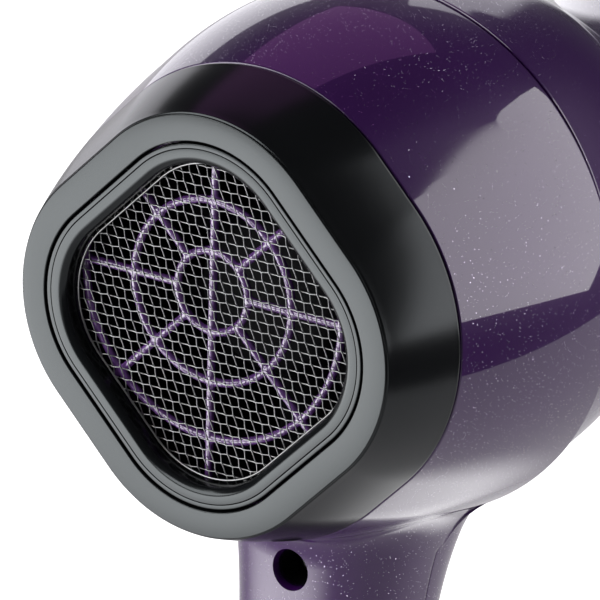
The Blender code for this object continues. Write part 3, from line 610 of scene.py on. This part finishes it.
def jog(share):
    """A smooth sawtooth from -1 to 1 that falls back where the wires cross."""
    total = sum(math.sin(TAU * k * share) / k * math.cos(k * math.pi / 8) for k in range(1, 5))
    return -0.62 * total


def make_woven_mesh():
    """Plain weave of crimped round wire, cut to the filter's rounded square."""
    across, down = np.array([1.92, 0.04]), np.array([0.702, -1.863])
    radius, lift, steps, span = 0.12, 0.13, 8, 24
    tubes = []
    for warp in (False, True):
        step, shift = (down, across) if warp else (across, down)
        bend = (np.array([-0.10, 0.0]) if warp else np.array([0.0, 0.085]))
        for wire in range(-span, span + 1):
            path = []
            for k in range(-span * steps, span * steps + 1):
                share = k / steps
                crossing = (-1) ** (wire + (1 if warp else 0))
                x, z = wire * shift + share * step + bend * jog(share)
                y = MESH_PLANE + crossing * lift * math.cos(math.pi * share)
                path.append((x, y, z))
            path = np.array(path)
            angle = np.arctan2(path[:, 2], path[:, 0])
            inside = np.hypot(path[:, 0], path[:, 2]) < square_radius(angle, 27.4, 0.67)
            if inside.sum() > steps:
                tubes.append(tube(path[inside], radius, 8))
    mesh = bars("woven_filter_mesh", tubes, STEEL_WIRE)
    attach(mesh, "cowl")
    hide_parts("filter_mesh")


def make_guard_web():
    """Round bars of the web: three rings and eight spokes, run together where they meet."""
    cx, cz = GUARD_CENTRE
    turn = np.linspace(0, TAU, 180, endpoint=False)
    edge = square_radius(turn, COLLAR_HALF - 1.0, 0.76)
    rim = np.stack([edge * np.cos(turn), 0 * turn + GUARD_PLANE, edge * np.sin(turn)], -1)
    tubes = [tube(rim, 1.0, 10, True)]
    for radius in GUARD_RINGS:
        ring = np.stack([cx + radius * np.cos(turn), 0 * turn + GUARD_PLANE,
                         cz + radius * np.sin(turn)], -1)
        angle = np.arctan2(ring[:, 2], ring[:, 0])
        inside = np.hypot(ring[:, 0], ring[:, 2]) < square_radius(angle, COLLAR_HALF - 0.8, 0.76)
        if inside.all():
            tubes.append(tube(ring, GUARD_BAR, 12, True))
            continue
        first = int(np.argmax(inside & ~np.roll(inside, 1)))
        ring, inside = np.roll(ring, -first, 0), np.roll(inside, -first)
        starts = [i for i in range(len(ring)) if inside[i] and not inside[i - 1]]
        for start in starts:
            stop = start
            while stop < len(ring) and inside[stop]:
                stop += 1
            if stop - start > 2:
                tubes.append(tube(ring[start:stop], GUARD_BAR, 12))
    for number in range(8):
        angle = TAU * number / 8
        heading = np.array([math.cos(angle), 0.0, math.sin(angle)])
        centre = np.array([cx, GUARD_PLANE, cz])
        reach = GUARD_RINGS[0]
        while True:
            point = centre + reach * heading
            limit = square_radius(np.arctan2(point[2], point[0]), COLLAR_HALF - 1.0, 0.76)
            if math.hypot(point[0], point[2]) > limit:
                break
            reach += 0.25
        inner = -GUARD_RINGS[0] if number == 2 else GUARD_RINGS[0]
        path = [centre + heading * d for d in np.linspace(inner, reach, 40)]
        tubes.append(tube(path, GUARD_BAR, 12))
    web = bars("guard_web", tubes, GUARD)
    modify(web, "REMESH", mode="VOXEL", voxel_size=0.26 * MM)
    modify(web, "SMOOTH", factor=0.5, iterations=6)
    web.data.shade_smooth()
    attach(web, "body")
    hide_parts("intake_guard")


# ---------------------------------------------------------------- body shells

def housing_skin():
    """Housing: bowed outside with a rounded front edge, and its inner wall."""
    rings = []
    for distance in (0.0, 0.05, 0.15, 0.2, 0.35):
        half, roundness, drop = housing_section(distance)
        rings.append(square_ring(distance, float(half) - 0.12 * max(1 - distance / 0.15, 0) ** 2,
                                 float(roundness), (0.0, float(drop))))
    for distance in np.linspace(0.8, HOUSING_LENGTH - 0.5, 46):
        half, roundness, drop = housing_section(distance)
        rings.append(square_ring(distance, float(half), float(roundness), (0.0, float(drop))))
    for share in np.linspace(0, math.pi / 2, 7)[1:]:
        distance = HOUSING_LENGTH - 0.25 + 0.25 * math.sin(share)
        half, roundness, drop = housing_section(distance)
        rings.append(square_ring(distance, float(half) - 0.25 * (1 - math.cos(share)),
                                 float(roundness), (0.0, float(drop))))
    for distance in np.linspace(HOUSING_LENGTH, 0.0, 18):
        half, roundness, drop = housing_section(distance)
        wall = HOUSING_WALL + (FRONT_WALL - HOUSING_WALL) * distance / HOUSING_LENGTH
        rings.append(square_ring(distance, float(half) - wall, float(roundness),
                                 (0.0, float(drop))))
    return loft("rear_body_skin", rings, VIOLET)


def handle_skin(name, side):
    outer, inner = handle_grids(side, 0.07)
    half = thick_sheet(name, outer, inner, VIOLET)
    modify(half, "BEVEL", width=0.22 * MM, segments=3, limit_method="ANGLE",
           angle_limit=math.radians(50))
    return half


def screw_cutter(depth):
    """Round recess with a softly flared mouth, from the handle's rear face inward."""
    rear = float(handle_limits(depth)[0])
    profile = [(rear - 6.0, 8.0), (rear - 0.9, 4.6), (rear - 0.2, 4.0), (rear + 0.45, 3.66),
               (rear + 1.3, SCREW_HOLE), (rear + SCREW_SEAT, SCREW_HOLE)]
    rings = [square_ring(d, r, centre=(0.0, -depth), count=64) for d, r in profile]
    return loft("screw_cutter", rings, VIOLET, False)


def screw_well(depth):
    """Tube that carries the recess down to the screw's seat, in near-black inner plastic as painted
    shade inside the recess.
    """
    rear = float(handle_limits(depth)[0])
    profile = [(rear + 1.6, 5.0), (rear + SCREW_SEAT + 1.5, 5.0), (rear + SCREW_SEAT + 1.5, 1.8),
               (rear + SCREW_SEAT, 1.8), (rear + SCREW_SEAT, SCREW_HOLE), (rear + 1.6, SCREW_HOLE)]
    rings = [square_ring(d, r, centre=(0.0, -depth), count=64) for d, r in profile]
    return loft("screw_well", rings, INNER)


def make_rear_body():
    housing = housing_skin()
    grip = handle_skin("rear_grip_skin", "rear")
    combine(grip, [screw_cutter(depth) for depth in SCREW_DEPTHS], "DIFFERENCE")
    merge(housing, [grip])
    # The wells are near-black inner plastic: painted shade inside the screw recesses
    upper, lower = [screw_well(depth) for depth in SCREW_DEPTHS]
    merge(upper, [lower])
    upper.name = "screw_wells"
    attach(upper, "body")
    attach(housing, "body")
    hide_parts("rear_body_shell")


def window_cutter(depth, half_width, half_height, corner):
    """Round-cornered opening through the handle's front wall, softly flared at the face."""
    turns = np.linspace(0, math.pi / 2, 9)
    rings = []
    for offset, flare in ((-8.0, 0.0), (-0.4, 0.0), (-0.15, 0.1), (0.05, 0.32), (4.0, 0.6)):
        ring = []
        for number, (sx, sz) in enumerate(((1, 1), (-1, 1), (-1, -1), (1, -1))):
            angles = turns + number * math.pi / 2
            ring += [(sx * (half_width - corner) + (corner + flare) * math.cos(a),
                      sz * (half_height - corner) + (corner + flare) * math.sin(a))
                     for a in angles]
        rings.append(np.array([(x, float(handle_limits(depth - z)[1]) + offset, z - depth)
                               for x, z in ring]))
    return loft("window_cutter", rings, VIOLET, False)


def make_front_body():
    outside = [(TONGUE_START, TONGUE_RADIUS), (40.3, TONGUE_RADIUS), (40.3, 48.5), (40.4, 48.8),
               (40.6, 48.88)]
    outside += [(d, float(np.interp(d, BARREL_DISTANCE, BARREL_RADIUS))) for d in (40.7, 40.85)]
    outside += list(zip(BARREL_DISTANCE[1:-1], BARREL_RADIUS[1:-1]))
    end, radius = BARREL_PROFILE[-1]
    outside += [(end - 0.25, radius), (end, radius - 0.25)]
    bore = TONGUE_RADIUS - BARREL_WALL
    inside = [(d, r - BARREL_WALL) for d, r in zip(BARREL_DISTANCE[::-1], BARREL_RADIUS[::-1])
              if d > 50]
    inside += [(42.5, bore), (TONGUE_START, bore)]
    barrel = loft("front_body_skin", [square_ring(d, r) for d, r in outside + inside], VIOLET)
    grip = handle_skin("front_grip_skin", "front")
    openings = [window_cutter(depth, *WINDOW_HALVES, 1.2) for depth in ROCKER_DEPTHS.values()]
    mouth = BUTTON_RADIUS + 0.4
    openings.append(window_cutter(BUTTON_DEPTH, mouth, mouth, mouth))
    combine(grip, openings, "DIFFERENCE")
    merge(barrel, [grip])
    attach(barrel, "body")
    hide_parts("front_body_shell")


# ---------------------------------------------------------------- controls

def make_rocker(name, depth):
    """Dished rocker with three grip ribs at each end and rounded edges."""
    face = float(handle_limits(depth)[1])
    z = np.linspace(-ROCKER_HALF_LENGTH + 0.4, ROCKER_HALF_LENGTH - 0.4, 97)
    ribs = np.exp(-((np.abs(z)[:, None] - (4.6, 5.7, 6.8)) / 0.26) ** 2).sum(1)
    top = np.stack([9.3 + 1.2 * (z / ROCKER_HALF_LENGTH) ** 2 + 0.22 * ribs, z], -1)
    low = np.array([(9.9, 7.95), (9.4, 8.0), (4.0, 8.0), (-2.3, 3.2), (-2.5, 2.8), (-2.5, -2.8),
                    (-2.3, -3.2), (4.0, -8.0), (9.4, -8.0), (9.9, -7.95)])
    outline = np.concatenate([top, low])
    middle = np.array([4.0, 0.0])
    rings = []
    for turn in np.linspace(-math.pi / 2, math.pi / 2, 13):
        x = math.copysign(ROCKER_HALF_WIDTH - 0.5, turn) + 0.5 * math.sin(turn) if turn else 0.0
        shrink = 1 - 0.06 * (1 - math.cos(turn))
        ring = middle + (outline - middle) * shrink
        rings.append(np.column_stack([np.full(len(ring), x), ring[:, 0] + face - ROCKER_PIVOT,
                                      ring[:, 1] - depth]))
    rocker = loft(name + "_skin", rings, CONTROL, False, 40.0)
    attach(rocker, name)
    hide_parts(name)


def make_button():
    """Cool-shot button: a flanged plunger with a dished face and a cup for its spring."""
    face = float(handle_limits(BUTTON_DEPTH)[1])
    stations = [(-5.2, 0.02, 1.0, 0.0), (-5.2, 3.9, 1.0, 0.0), (-7.0, 3.9, 1.0, 0.15),
                (-7.0, 5.6, 1.0, 0.2), (-5.6, 5.6, 1.0, 0.2), (-5.6, BUTTON_RADIUS, 1.0, 0.0),
                (2.1, BUTTON_RADIUS, 1.0, 0.7), (2.3, 3.1, 1.0, 0.2), (2.0, 2.9, 1.0, 0.15),
                (1.75, 1.6, 1.0, 0.0), (1.7, 0.02, 1.0, 0.0)]
    rings = [square_ring(face + d, r, rest, (0.0, -BUTTON_DEPTH), 96)
             for d, r, rest in soften(stations)]
    button = loft("cool_shot_button_skin", rings, CONTROL, False)
    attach(button, "cool_shot")
    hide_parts("cool_shot_button")


# ---------------------------------------------------------------- outlet and handle end

def make_outlet():
    start = BARREL_PROFILE[-1][0] + GAP
    stations = [(start, 24.6, 1.0, 0.15), (start + 1.0, 25.4, 1.0, 0.4),
                (start + 2.6, 25.4, 1.0, 0.4), (start + 3.2, 24.2, 1.0, 0.3),
                (start + 5.6, 24.2, 1.0, 0.1), (start + 5.9, 23.85, 1.0, 0.1),
                (start + 6.2, 24.2, 1.0, 0.1), (OUTLET_FACE - 0.4, 24.2, 1.0, 0.5),
                (OUTLET_FACE, 22.6, 1.0, 0.5), (OUTLET_FACE - 0.9, 20.8, 1.0, 0.6),
                (start, 20.8, 1.0, 0.2)]
    ring = loft("outlet_ring_skin", rings_of(soften(stations)), SATIN)
    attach(ring, "body")
    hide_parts("outlet_ring")
    plane = start + 3.0
    turns = np.linspace(0, TAU, 16, endpoint=False)
    bars_made = []
    for radius, half_across, half_deep in ((19.6, 0.78, 1.15), (12.5, 0.58, 0.95),
                                           (6.0, 0.58, 0.95)):
        hoop = [square_ring(plane + half_deep * math.sin(a), radius + half_across * math.cos(a))
                for a in turns]
        bars_made.append(loft("grille_hoop", hoop, SATIN))
    for number in range(6):
        angle = TAU * number / 6
        out = np.array([math.cos(angle), 0.0, math.sin(angle)])
        aside = np.array([-math.sin(angle), 0.0, math.cos(angle)])
        rings = [out * reach + (0.0, plane, 0.0) + np.outer(0.54 * np.cos(turns), aside)
                 + np.outer(0.88 * np.sin(turns), (0.0, 1.0, 0.0))
                 for reach in np.linspace(6.0, 19.3, 24)]
        bars_made.append(loft("grille_spoke", rings, SATIN, False))
    grille = bars_made[0]
    grille.name = "outlet_grille_skin"
    merge(grille, bars_made[1:])
    modify(grille, "REMESH", mode="VOXEL", voxel_size=0.24 * MM)
    modify(grille, "SMOOTH", factor=0.5, iterations=5)
    grille.data.shade_smooth()
    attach(grille, "body")
    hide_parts("outlet_grille")


def make_handle_end():
    start = HANDLE_END + GAP
    rear, front, _ = handle_limits(163.0)
    middle = (rear + front) / 2
    outside = [(start, 0.0), (163.0, 0.0)]
    outside += [(FOOT - 2.2 + 2.2 * math.sin(a), 2.6 * (1 - math.cos(a)) + 0.3 * math.sin(a))
                for a in np.linspace(0, math.pi / 2, 12)]
    rings = [handle_ring(depth, inset) for depth, inset in outside]
    rings += [level_ring(FOOT, 6.2, middle), level_ring(FOOT - 0.2, 5.6, middle),
              level_ring(FOOT - 0.7, 5.4, middle), level_ring(154.0, 5.4, middle)]
    rings += [handle_ring(154.0, 2.7), handle_ring(start, 2.7)]
    cap = loft("handle_end_cap_skin", rings, SATIN)
    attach(cap, "body")
    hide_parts("handle_end_cap")
    profile = [(FOOT - 0.3, 3.9), (FOOT - 0.3, 4.8), (FOOT - 0.6, 5.1)]
    for depth in (166.0, 164.2, 162.4):
        profile += [(depth, 5.1), (depth - 0.2, 4.7), (depth - 0.7, 4.7), (depth - 0.9, 5.1)]
    profile += [(153.6, 5.1), (153.6, 3.6), (FOOT - 0.6, 3.6)]
    gland = loft("cable_gland_skin", [level_ring(d, r, middle) for d, r in profile], RUBBER)
    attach(gland, "body")
    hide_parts("cable_gland")


# ---------------------------------------------------------------- fan

def blade_section(radius, share):
    """Cambered blade section round a point of its span, as a closed loop."""
    chord = 11.0 + 3.0 * share
    pitch = math.radians(38.0 + 20.0 * share)
    thick = 1.5 - 0.6 * share
    t = np.linspace(0, 1, 15)
    line = np.stack([t - 0.5, 0.10 * np.sin(math.pi * t)], -1) * chord
    half = thick * 0.5 * np.sqrt(np.clip(4 * t * (1 - t), 0, 1)) ** 0.8
    loop = np.concatenate([line + np.stack([0 * t, half], -1),
                           (line - np.stack([0 * t, half], -1))[-2:0:-1]])
    forward, aside = loop[:, 0], loop[:, 1]
    y = 13.5 + forward * math.cos(pitch) - aside * math.sin(pitch)
    swing = (forward * math.sin(pitch) + aside * math.cos(pitch)) / radius
    return np.stack([radius * np.cos(swing), y, radius * np.sin(swing)], -1)


def make_fan():
    """Impeller with a closed domed hub and cambered, twisted blades."""
    dome = [(4.6 - 3.0 * math.cos(a), 14.2 * math.sin(a)) for a in np.linspace(0.02, 1.5, 12)]
    profile = dome + [(6.4, 15.3), (8.0, 15.7), (20.0, 16.0), (20.0, 14.0), (9.0, 13.8),
                      (5.2, 10.0), (4.4, 0.3)]
    hub = loft("fan_impeller_skin", [square_ring(d, r, count=96) for d, r in profile], INNER)
    blades = []
    for number in range(FAN_BLADES):
        turn = TAU * number / FAN_BLADES
        rings = []
        for share in np.linspace(0, 1, 9):
            section = blade_section(15.0 + 18.2 * share, share)
            x, z = section[:, 0].copy(), section[:, 2].copy()
            section[:, 0] = x * math.cos(turn) - z * math.sin(turn)
            section[:, 2] = x * math.sin(turn) + z * math.cos(turn)
            rings.append(section)
        blades.append(loft(f"blade_{number}", rings, INNER, False, 60.0))
    merge(hub, blades)
    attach(hub, "fan")
    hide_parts("fan_impeller")


# ---------------------------------------------------------------- studio

ROOM_DARK, ROOM_LIT = (0.045, 0.045, 0.05, 1.0), (1.3, 1.28, 1.36, 1.0)
BACKDROP_TOPS = (0.47, 0.268)    # sine of the white backdrop's height, right and left of a line
BACKDROP_STEP = (-0.883, -0.469, 0.0)
BACKDROP_SIDES = ((-0.85, -0.379, 0.37), (0.259, 0.966, 0.0))
FLOOR_RIGHT, FLOOR_BACK = 0.31, 0.75
FLOOR_STRENGTHS = (0.3, 1.2)     # in reflections, and as the camera sees it
# Painted glowing patches on the floor, pools of painted light: centre, radii where the glow starts
# and stops fading, strength
FLOOR_GLOWS = (((-0.36, -0.46, 0.0), 0.12, 0.42, 7.2), ((0.0, 0.05, 0.0), 0.02, 0.07, 1.1))


def half_space(tree, direction, normal, edge, low, high):
    """Value that is high for directions on the normal's side of a plane, and low beyond it."""
    facing = reckon(tree, "DOT_PRODUCT", direction.outputs["Generated"], normal,
                    kind=VECTOR_MATHS, output="Value")
    return smooth_step(tree, facing, -edge, edge, low, high)


def make_room():
    """White backdrop on some sides of a dark room; the camera sees plain white."""
    scene = bpy.context.scene
    scene.view_settings.view_transform = "Standard"
    world = bpy.data.worlds.new("studio")
    scene.world = world
    world.use_nodes = True
    tree = world.node_tree
    background = tree.nodes["Background"]
    direction = add(tree, "ShaderNodeTexCoord")
    split = add(tree, "ShaderNodeSeparateXYZ")
    tree.links.new(direction.outputs["Generated"], split.inputs["Vector"])
    limit = half_space(tree, direction, BACKDROP_STEP, 0.04, *BACKDROP_TOPS)
    below = reckon(tree, "SUBTRACT", limit, split.outputs["Z"])
    lit = smooth_step(tree, below, -0.01, 0.01, 0.0, 1.0)
    for side in BACKDROP_SIDES:
        lit = reckon(tree, "MULTIPLY", lit, half_space(tree, direction, side, 0.03, 0.0, 1.0))
    room = add(tree, "ShaderNodeMix", data_type="RGBA")
    tree.links.new(lit, room.inputs[0])
    room.inputs[6].default_value = ROOM_DARK
    room.inputs[7].default_value = ROOM_LIT
    path = add(tree, "ShaderNodeLightPath")
    mixed = add(tree, "ShaderNodeMix", data_type="RGBA")
    tree.links.new(path.outputs["Is Camera Ray"], mixed.inputs[0])
    tree.links.new(room.outputs[2], mixed.inputs[6])
    mixed.inputs[7].default_value = (1.0, 1.0, 1.0, 1.0)
    tree.links.new(mixed.outputs[2], background.inputs["Color"])


def make_floor():
    """Pale floor with painted glowing patches, pools of painted light; it glows more for the camera
    than it does in reflections.
    """
    floor_material, tree, shader = new_material("pale_floor")
    shader.inputs["Base Color"].default_value = (0.60, 0.60, 0.60, 1.0)
    shader.inputs["Roughness"].default_value = 0.6
    shader.inputs["Emission Color"].default_value = (1.0, 1.0, 1.0, 1.0)
    place_on_floor = add(tree, "ShaderNodeTexCoord")
    seen = add(tree, "ShaderNodeLightPath")
    total = smooth_step(tree, seen.outputs["Is Camera Ray"], 0.0, 1.0, *FLOOR_STRENGTHS)
    # Each patch adds painted glow to the floor's emission, fading out between its two radii
    for centre, start, end, strength in FLOOR_GLOWS:
        away = reckon(tree, "DISTANCE", place_on_floor.outputs["Object"], centre,
                      kind=VECTOR_MATHS, output="Value")
        total = reckon(tree, "ADD", total, smooth_step(tree, away, start, end, strength, 0.0))
    tree.links.new(total, shader.inputs["Emission Strength"])
    mesh = bpy.data.meshes.new("floor")
    builder = bmesh.new()
    corners = [builder.verts.new((x, y, 0.0)) for x, y in
               ((-2.0, -1.6), (FLOOR_RIGHT, -1.6), (FLOOR_RIGHT, FLOOR_BACK), (-2.0, FLOOR_BACK))]
    builder.faces.new(corners)
    builder.to_mesh(mesh)
    builder.free()
    mesh.materials.append(floor_material)
    floor = bpy.data.objects.new("floor", mesh)
    bpy.context.scene.collection.objects.link(floor)


def unit(vector):
    return np.asarray(vector, float) / np.linalg.norm(vector)


def softbox(name, centre, along, spans, distance, radiance, colour=(1.0, 1.0, 1.0)):
    """Rectangular light; spans give its extent along its two edges as shares of its distance."""
    centre = unit(centre)
    along = unit(np.asarray(along) - centre * np.dot(along, centre))
    across = np.cross(centre, along)
    (left, right), (low, high) = spans
    data = bpy.data.lights.new(name, "AREA")
    data.shape = "RECTANGLE"
    data.size, data.size_y = (right - left) * distance, (high - low) * distance
    data.energy = radiance * math.pi * data.size * data.size_y
    data.color = colour
    light = bpy.data.objects.new(name, data)
    bpy.context.scene.collection.objects.link(light)
    middle = centre + along * (left + right) / 2 + across * (low + high) / 2
    basis = Matrix((along, across, centre)).transposed().to_4x4()
    basis.translation = Vector(ORIGIN + middle * distance)
    light.matrix_world = basis
    light.visible_camera = False


def light_panel(name, centre, along, corners, distance, radiance):
    """Glowing panel; its corners are shares of its distance along its two edges."""
    centre = unit(centre)
    along = unit(np.asarray(along) - centre * np.dot(along, centre))
    across = np.cross(centre, along)
    material, _, shader = new_material(name)
    shader.inputs["Base Color"].default_value = (0.0, 0.0, 0.0, 1.0)
    shader.inputs["Emission Color"].default_value = (1.0, 0.98, 1.0, 1.0)
    shader.inputs["Emission Strength"].default_value = radiance
    mesh = bpy.data.meshes.new(name)
    places = [tuple(ORIGIN + (centre + along * u + across * v) * distance) for u, v in corners]
    mesh.from_pydata(places, [], [tuple(range(len(corners)))])
    mesh.materials.append(material)
    panel = bpy.data.objects.new(name, mesh)
    bpy.context.scene.collection.objects.link(panel)
    panel.visible_camera = False


CAMERA_ANGLES = (34.64, 20.59, 1.41)       # azimuth, elevation and roll, in degrees
CAMERA_DISTANCE, CAMERA_LENS = 1.7264, 589.6
CAMERA_OFFSETS = (0.004581, 0.00026)       # shift of the origin off the view's centre


def make_camera():
    azimuth, elevation, roll = map(math.radians, CAMERA_ANGLES)
    back = Vector((math.sin(azimuth) * math.cos(elevation),
                   -math.cos(azimuth) * math.cos(elevation), math.sin(elevation)))
    right = Vector((math.cos(azimuth), math.sin(azimuth), 0.0))
    up = back.cross(right)
    right, up = (right * math.cos(roll) + up * math.sin(roll),
                 up * math.cos(roll) - right * math.sin(roll))
    aside, above = CAMERA_OFFSETS
    forward = (-back + right * aside + up * above).normalized()
    right = (right - forward * right.dot(forward)).normalized()
    up = right.cross(forward)
    data = bpy.data.cameras.new("camera")
    data.lens = CAMERA_LENS
    data.sensor_width = 36.0
    camera = bpy.data.objects.new("camera", data)
    bpy.context.scene.collection.objects.link(camera)
    basis = Matrix((right, up, -forward)).transposed().to_4x4()
    basis.translation = Vector(ORIGIN) + back * CAMERA_DISTANCE
    camera.matrix_world = basis
    bpy.context.scene.camera = camera


finish_cad_nodes()
make_cowl()
make_filter_frame()
make_woven_mesh()
make_guard_web()
make_rear_body()
make_front_body()
make_fan()
for rocker_name, rocker_depth in ROCKER_DEPTHS.items():
    make_rocker(rocker_name + "_rocker", rocker_depth)
make_button()
make_outlet()
make_handle_end()
make_room()
make_floor()
make_camera()
light_panel("right_panel", (0.729, 0.561, 0.393), (-0.502, 0.818, -0.280),
            ((-0.36, -0.624), (0.43, -0.624), (0.43, 0.44), (0.30, 0.424), (0.08, 0.374),
             (-0.36, 0.447)), 1.5, 3.4)
softbox("top_softbox", (-0.34, 0.616, 0.71), (0.872, -0.068, 0.487),
        ((-0.315, 0.33), (-0.35, 0.158)), 1.5, 0.35, (1.0, 0.35, 1.1))
softbox("front_softbox", (-0.50, -0.80, 0.33), (0.85, -0.53, 0.0),
        ((-0.35, 0.35), (-0.3, 0.3)), 1.6, 6.0)
